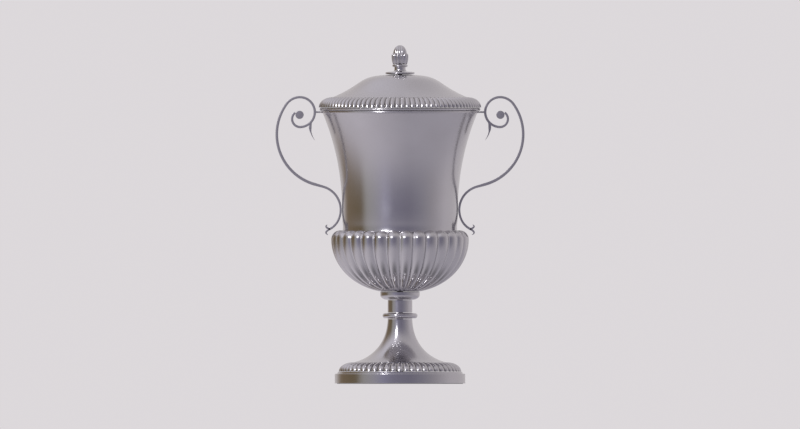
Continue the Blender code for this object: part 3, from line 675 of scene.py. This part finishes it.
def make_handle(side, finish):
    mirror = side == "left"
    low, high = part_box("right_handle_boss")
    half = (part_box("right_handle_scroll")[1].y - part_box("right_handle_scroll")[0].y) / 2
    eye = np.array(((low.x + high.x) / 2, (low.z + high.z) / 2))
    unit = (high.x - low.x) / 2 / BOSS_RADIUS
    start = eye - unit * np.array(EYE_OFFSET)
    stretches = VOLUTE_ARCS + ((STRAIGHT_RUN, 0, STRAP_AFTER_RUN),) + FOOT_ARCS
    route = stations_along(
        start, HANDLE_HEADING, STRAP_START * unit,
        [(size * unit, turn, end * unit) for size, turn, end in stretches],
    )
    strap = moved(swept(route, half, STRAP_EDGE), mirror=mirror)
    dress(side + "_scroll_form", [strap], finish, side + "_handle_scroll")

    boss = BOSS_RADIUS * unit
    length = high.y
    rounding = 0.35 * MM
    rim = ellipse((boss - rounding, length - rounding), (rounding, rounding), 90, 0, 8)
    outline = joined((0, length), rim, rim[::-1] * (1, -1), (0, -length))
    button = moved(spun(outline, SMALL_SEGMENTS), (eye[0], 0, eye[1]), mirror, along_y=True)
    dress(side + "_boss_form", [button], finish, side + "_handle_boss")

    make_leaf(side, mirror, eye, unit, half, finish)
    make_fork(side, mirror, np.array(route[-1][:2]), unit, half, finish)

    low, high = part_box("right_handle_bracket")
    middle = (low.z + high.z) / 2
    bar = high.z - low.z
    run = np.linspace(low.x - 0.2 * MM, high.x + 0.8 * MM, 5)
    bracket = swept([(x, middle, 0.0, bar) for x in run], half - 0.2 * MM, 0.3 * MM)
    dress(side + "_bracket_form", [moved(bracket, mirror=mirror)], finish, side + "_handle_bracket")


def make_leaf(side, mirror, eye, unit, half, finish):
    """A sickle leaf that grows out of the volute, swells and runs out to a point."""
    root, pull, push, tip = [eye + unit * np.array(p) for p in
                             ((-12.0, -6.6), (-8.9, -13.2), (-11.4, -20.0), (-15.2, -25.4))]
    spine = bezier(root, pull, push, tip, 40)
    share = np.linspace(0, 1, len(spine))
    swell = 1.3 * np.sin(math.pi * np.clip(share * 1.6, 0, 1)) ** 2
    width = unit * (1.5 + swell) * (1 - share**2.2) + 0.12 * MM
    leaf = moved(swept(curve_stations(spine, width), half - 0.1 * MM, STRAP_EDGE), mirror=mirror)
    dress(side + "_leaf_form", [leaf], finish, side + "_handle_leaf")


def make_fork(side, mirror, end, unit, half, finish):
    """The forked foot: two barbs that turn back sharply at their elbows."""
    barbs = []
    for pull, push, tip in (
        ((2.6, 1.0), (5.0, 3.0), (1.9, 4.4)),
        ((2.6, -1.4), (5.4, -3.6), (1.4, -5.6)),
    ):
        points = [end + unit * np.array(p) for p in ((-0.4, 0.2), pull, push, tip)]
        spine = bezier(*points, 30)
        share = np.linspace(0, 1, len(spine))
        width = unit * (2.1 - 0.5 * share - 1.1 * share**4)
        barbs.append(moved(swept(curve_stations(spine, width), half, STRAP_EDGE), mirror=mirror))
    dress(side + "_fishtail_form", barbs, finish, side + "_handle_fishtail")


# Cover

def make_cover(bright, border_bright, spun_bright, vase):
    radius, low, high = extent("lid_rim")
    edge = (high - low) / 2
    inner = radius - 7 * MM
    outline = joined(
        (inner, high),
        ellipse((radius - edge, low + edge), (edge, edge), 90, -90, 24),
        (inner, low),
    )
    dress("cover_rim_form", [spun(soften(outline, FINE_EDGE, 0.9))], bright, "lid_rim")

    _, bezel_low, bezel_high = extent("lid_bezel")
    heights = np.linspace(bezel_high, bezel_low, 10)
    outside = np.stack([vase.flare(heights) - SHEET - 0.5 * MM, heights], axis=1)
    inside = outside - (SHEET, 0)
    outline = joined(outside, inside[::-1])
    outline[0, 1] = outline[-1, 1] = low
    dress("bezel_form", [spun(soften(outline, 0.4 * MM, 0.9))], bright, "lid_bezel")

    foot = DOME_FOOT_RADIUS
    _, bottom, border_top = extent("lid_gadroon")
    _, _, crown = extent("lid_dome")
    plate, _, _ = extent("finial_plate")
    skirt = COVER_SKIRT_RADIUS
    hem = joined((skirt + 0.3 * MM, bottom), (skirt - 1.5 * MM, bottom + 2 * MM))
    border(
        "cover_border_form", "lid_gadroon", COVER_LOBES, COVER_LOBE_DEPTH, True,
        foot + 0.4 * MM, hem, 10, border_bright,
    )
    rise = crown - border_top
    outside = bezier(
        (plate / 2, crown),
        (0.63 * foot, crown),
        (0.51 * foot, border_top + 0.6 * rise),
        (foot, border_top - 0.2 * MM),
        80,
    )
    inside = offset(outside, SHEET)
    inside[0] = (plate / 2, crown - SHEET)
    bore = STUD_BORE
    outline = joined(
        outside,
        (skirt - 0.3 * MM, bottom), (skirt - 0.3 * MM - SHEET, bottom),
        inside[::-1],
        (bore, crown - SHEET), (bore, crown),
    )
    dress("dome_form", [spun(soften(outline, FINE_EDGE, 0.9))], spun_bright, "lid_dome")


def make_finial(bright):
    bore = STUD_BORE
    radius, low, high = extent("finial_plate")
    rim = (low + high) / 2
    lip = 0.95 * MM
    edge = radius - lip
    outline = joined(
        (bore, high),
        bezier((0.64 * radius, high), (0.8 * radius, high), (0.92 * edge, rim + lip), (edge, rim + lip), 10),
        ellipse((edge, rim), (lip, lip), 80, -80, 14),
        bezier((edge, rim - lip), (0.92 * edge, rim - lip), (0.8 * radius, low), (0.5 * radius, low), 10),
        (bore, low),
    )
    dress("plate_form", [spun(outline, SMALL_SEGMENTS * 2)], bright, "finial_plate")

    _, low, high = extent("finial_neck")
    collar = 7.7 * MM
    neck = 5.6 * MM
    bead = 1.3 * MM
    waist = high - 2 * bead
    outline = joined(
        (bore, high),
        ellipse((collar - bead, high - bead), (bead, bead), 90, -60, 20),
        bezier(
            (collar - 1.5 * bead, waist), (neck, waist),
            (neck, waist - 1.5 * MM), (neck, waist - 1.8 * MM), 8,
        ),
        bezier(
            (neck, waist - 2.0 * MM), (neck, low + 0.6 * MM),
            (neck + 1.0 * MM, low), (neck + 2.8 * MM, low), 10,
        ),
        (bore, low),
    )
    dress("neck_form", [spun(outline, SMALL_SEGMENTS * 2)], bright, "finial_neck")
    make_bud(bright)


def make_bud(bright):
    """An egg of two tiers of pressed petals: a swelling lower one, and an upper one that closes over it."""
    _, low, high = extent("finial_bud")
    radius = 8.6 * MM
    height = high - low
    petals = 12
    swell = low + 0.42 * height
    tips = low + 0.57 * height

    lower = joined(
        (radius - 2.6 * MM, tips - 0.8 * MM),
        bezier(
            (radius - 1.9 * MM, tips), (radius - 0.9 * MM, tips),
            (radius, tips - 1.0 * MM), (radius, swell), 16,
        ),
        bezier(
            (radius, swell), (radius, low + 0.24 * height),
            (0.93 * radius, low + 0.1 * height), (0.86 * radius, low), 22,
        )[1:],
        (0, low),
        (0, swell),
    )
    depth = np.full(len(lower), 1.1 * MM)
    depth[0] = 0
    depth[-2:] = 0
    skirt = spun(lower, petals * 24, depth, lambda angles: lobes(angles, petals, True))

    inner = radius - 1.6 * MM
    upper = joined(
        (0, high),
        bezier(
            (0.3 * MM, high - 0.01 * MM), (4.4 * MM, high - 0.3 * MM),
            (inner, tips + 0.2 * height), (inner, swell), 34,
        ),
        (0, swell),
    )
    depth = 0.5 * MM * np.clip(upper[:, 0] / (0.6 * inner), 0, 1)
    depth[-1] = 0
    crown = spun(upper, petals * 24, depth, lambda angles: lobes(angles, petals, False))
    dress("bud_form", [skirt, crown], bright, "finial_bud")


# Fasteners, which show with the cover lifted

def nut_part(flats, bore, low, high, dome):
    """A chamfered hexagon nut, with a domed and closed top where dome is above 0."""
    side = flats / 2
    chamfer = 0.7 * MM
    flat_top = high - dome
    crown = [(bore, flat_top)]
    if dome:
        crown = np.vstack([[(0, high)], ellipse((0, flat_top), (0.9 * side, dome), 89, 0, 16)])
    faces = joined(
        (0.95 * side, flat_top),
        (side, flat_top - 0.25 * chamfer),
        (side, flat_top - chamfer),
        (side, low + chamfer),
        (side, low + 0.25 * chamfer),
        (0.95 * side, low),
    )
    outline = joined(crown, faces, (bore, low), (bore, low + (high - low) * 0.4))
    depth = np.zeros(len(outline))
    first = len(crown)
    depth[first:first + 6] = side * np.array([0.0, 0.35, 1.0, 1.0, 0.35, 0.0])
    return spun(outline, SMALL_SEGMENTS, depth, hexagon)


def make_fasteners(metal):
    for node, radius, bore in (
        ("tie_rod_foot_washer", 9.0, ROD_BORE),
        ("tie_rod_cup_washer", 9.0, ROD_BORE),
        ("finial_washer", 5.0, STUD_BORE),
    ):
        _, low, high = extent(node)
        outline = joined((bore, high), (radius * MM, high), (radius * MM, low), (bore, low))
        dress(node + "_form", [spun(soften(outline, FINE_EDGE), SMALL_SEGMENTS)], metal, node)
    for node, flats, bore, dome in (
        ("tie_rod_foot_nut", 10.0, ROD_BORE, 0.0),
        ("tie_rod_cup_nut", 10.0, ROD_BORE, 3.0),
        ("finial_nut", 7.0, STUD_BORE, 0.0),
    ):
        _, low, high = extent(node)
        dress(node + "_form", [nut_part(flats * MM, bore, low, high, dome * MM)], metal, node)
    for node in ("base_cover", "anchor_plate", "tie_rod", "finial_stud"):
        part = frame["nodes"][node]
        part.data.materials.clear()
        part.data.materials.append(metal)
        edge = part.modifiers.new("edge", "BEVEL")
        edge.width = FINE_EDGE
        edge.segments = 2
        edge.limit_method = "ANGLE"


# Studio

def degrees_node(tree, value):
    return add(tree, "ShaderNodeMath", [(0, value), (1, 180 / math.pi)], operation="MULTIPLY").outputs[0]


def make_world():
    """Plain and pale to the eye. What the silver mirrors is a room: a wooden wall on the left, a darker
    camera side, a floor that is darker straight below, and a sky that is lighter on the left."""
    world = bpy.data.worlds.new("studio")
    bpy.context.scene.world = world
    world.use_nodes = True
    tree = world.node_tree
    tree.nodes.clear()
    direction = add(tree, "ShaderNodeTexCoord").outputs["Generated"]
    axes = add(tree, "ShaderNodeSeparateXYZ", [(0, direction)])
    back = maths(tree, "MULTIPLY", axes.outputs["Y"], -1.0)
    azimuth = degrees_node(tree, maths(tree, "ARCTAN2", axes.outputs["X"], back))
    elevation = degrees_node(tree, maths(tree, "ARCSINE", axes.outputs["Z"], 0.0))

    ring = add(tree, "ShaderNodeValToRGB", [(0, ranged(tree, azimuth, -180, 180, 0.0, 1.0))])
    stops = (
        (-180, (0.63, 0.60, 0.61)),
        (-152, (0.58, 0.54, 0.53)),
        (-130, (0.23, 0.175, 0.115)),
        (-84, (0.17, 0.13, 0.075)),
        (-70, (0.38, 0.37, 0.35)),
        (-50, (0.38, 0.37, 0.40)),
        (-30, (0.30, 0.29, 0.40)),
        (-14, (0.23, 0.22, 0.29)),
        (18, (0.21, 0.20, 0.26)),
        (42, (0.28, 0.27, 0.32)),
        (66, (0.38, 0.36, 0.39)),
        (100, (0.57, 0.54, 0.57)),
        (180, (0.63, 0.60, 0.61)),
    )
    elements = ring.color_ramp.elements
    elements[0].position = 0.0
    elements[1].position = 1.0
    for degrees, colour in stops[1:-1]:
        elements.new((degrees + 180) / 360).color = (*colour, 1)
    elements[0].color = (*stops[0][1], 1)
    elements[len(stops) - 1].color = (*stops[-1][1], 1)

    low = add(
        tree, "ShaderNodeMapRange", [(0, elevation), (1, -26.0), (2, -4.0), (3, 0.0), (4, 1.0)],
        interpolation_type="SMOOTHSTEP",
    ).outputs[0]
    high = add(
        tree, "ShaderNodeMapRange", [(0, elevation), (1, 18.0), (2, 55.0), (3, 0.0), (4, 1.0)],
        interpolation_type="SMOOTHSTEP",
    ).outputs[0]
    to_right = ranged(tree, azimuth, -70, 15, 0.0, 1.0)
    ground = mixed(tree, to_right, (0.66, 0.63, 0.68, 1), (0.47, 0.45, 0.50, 1))
    below = ranged(tree, elevation, -76.0, -50.0, 0.0, 1.0)
    ground = mixed(tree, below, (0.19, 0.185, 0.20, 1), ground)
    room = mixed(tree, low, ground, ring.outputs["Color"])
    away_from_left = ranged(tree, axes.outputs["X"], -0.75, 0.25, 0.0, 1.0)
    sky = mixed(tree, away_from_left, (0.82, 0.80, 0.88, 1), (0.56, 0.535, 0.555, 1))
    room = mixed(tree, high, room, sky)

    path = add(tree, "ShaderNodeLightPath")
    seen = mixed(tree, path.outputs["Is Camera Ray"], room, (0.72, 0.69, 0.71, 1))
    surface = add(tree, "ShaderNodeBackground", [("Color", seen), ("Strength", 1.0)])
    output = add(tree, "ShaderNodeOutputWorld")
    tree.links.new(surface.outputs[0], output.inputs["Surface"])


def soft_lamp(name, target, azimuth, elevation, distance, radius, watts):
    """A round soft box that shines at the target."""
    data = bpy.data.lights.new(name, "AREA")
    data.shape = "DISK"
    data.size = 2 * radius
    data.energy = watts
    lamp = bpy.data.objects.new(name, data)
    a = math.radians(azimuth)
    e = math.radians(elevation)
    away = np.array((math.sin(a) * math.cos(e), -math.cos(a) * math.cos(e), math.sin(e)))
    lamp.location = np.array(target) + distance * away
    lamp.rotation_euler = (math.pi / 2 - e, 0, a)
    bpy.context.collection.objects.link(lamp)
    return lamp


def make_floor():
    """A pale matt floor, a disc so wide that no view of the cup reaches its edge."""
    mesh = bpy.data.meshes.new("floor")
    turn = TAU * np.arange(128) / 128
    mesh.from_pydata([(6 * math.cos(a), 6 * math.sin(a), 0.0) for a in turn], [], [list(range(128))])
    floor = bpy.data.objects.new("floor", mesh)
    bpy.context.collection.objects.link(floor)
    made, tree, shader = nodes_of("pale_floor")
    place = add(tree, "ShaderNodeTexCoord").outputs["Object"]
    shade = ranged(tree, noise(tree, place, 3, 4), 0.3, 0.7, 0.0, 1.0)
    tree.links.new(
        mixed(tree, shade, (0.82, 0.79, 0.80, 1), (0.86, 0.83, 0.84, 1)), shader.inputs["Base Color"]
    )
    shader.inputs["Roughness"].default_value = 0.9
    mesh.materials.append(made)
    floor.visible_glossy = False


def make_camera():
    data = bpy.data.cameras.new("camera")
    data.type = "ORTHO"
    data.ortho_scale = 0.8
    data.clip_end = 50
    camera = bpy.data.objects.new("camera", data)
    camera.location = (0, -2.5, (cad_low.z + cad_high.z) / 2)
    camera.rotation_euler = (math.pi / 2, 0, 0)
    bpy.context.collection.objects.link(camera)
    bpy.context.scene.camera = camera


def main():
    make_camera()
    make_world()
    middle = (0, 0, (cad_low.z + cad_high.z) / 2)
    soft_lamp("key", middle, azimuth=-31, elevation=27, distance=1.6, radius=0.12, watts=5.5)
    fill = soft_lamp("fill", middle, azimuth=40, elevation=62, distance=2.0, radius=0.7, watts=12.0)
    fill.visible_glossy = False
    make_floor()
    bpy.context.scene.view_settings.view_transform = "Standard"

    # The groove colours given here are painted light: a painted highlight for polished_silver and a painted
    # shade for border_silver.
    bright = silver("polished_silver", SILVER, 0.20, 0.245, 0.0, PAINTED_GROOVE_HIGHLIGHT, 0.80)
    border_bright = silver("border_silver", SILVER, 0.20, 0.245, 0.0, PAINTED_GROOVE_SHADE, 0.45)
    spun_bright = silver("spun_silver", SILVER, 0.20, 0.245, 0.6, TARNISH, 0.80)
    cast = silver("cast_silver", CAST_SILVER, 0.38, 0.44, 0.0, TARNISH, 0.80)
    metal = steel("machined_steel")
    wool = felt("green_felt")

    vase = Vase()
    make_base(bright, wool)
    make_foot(border_bright, spun_bright)
    make_stem(spun_bright)
    make_bowl(bright)
    make_cup(spun_bright, vase)
    make_handle("right", cast)
    make_handle("left", cast)
    make_cover(bright, border_bright, spun_bright, vase)
    make_finial(bright)
    make_fasteners(metal)


main()
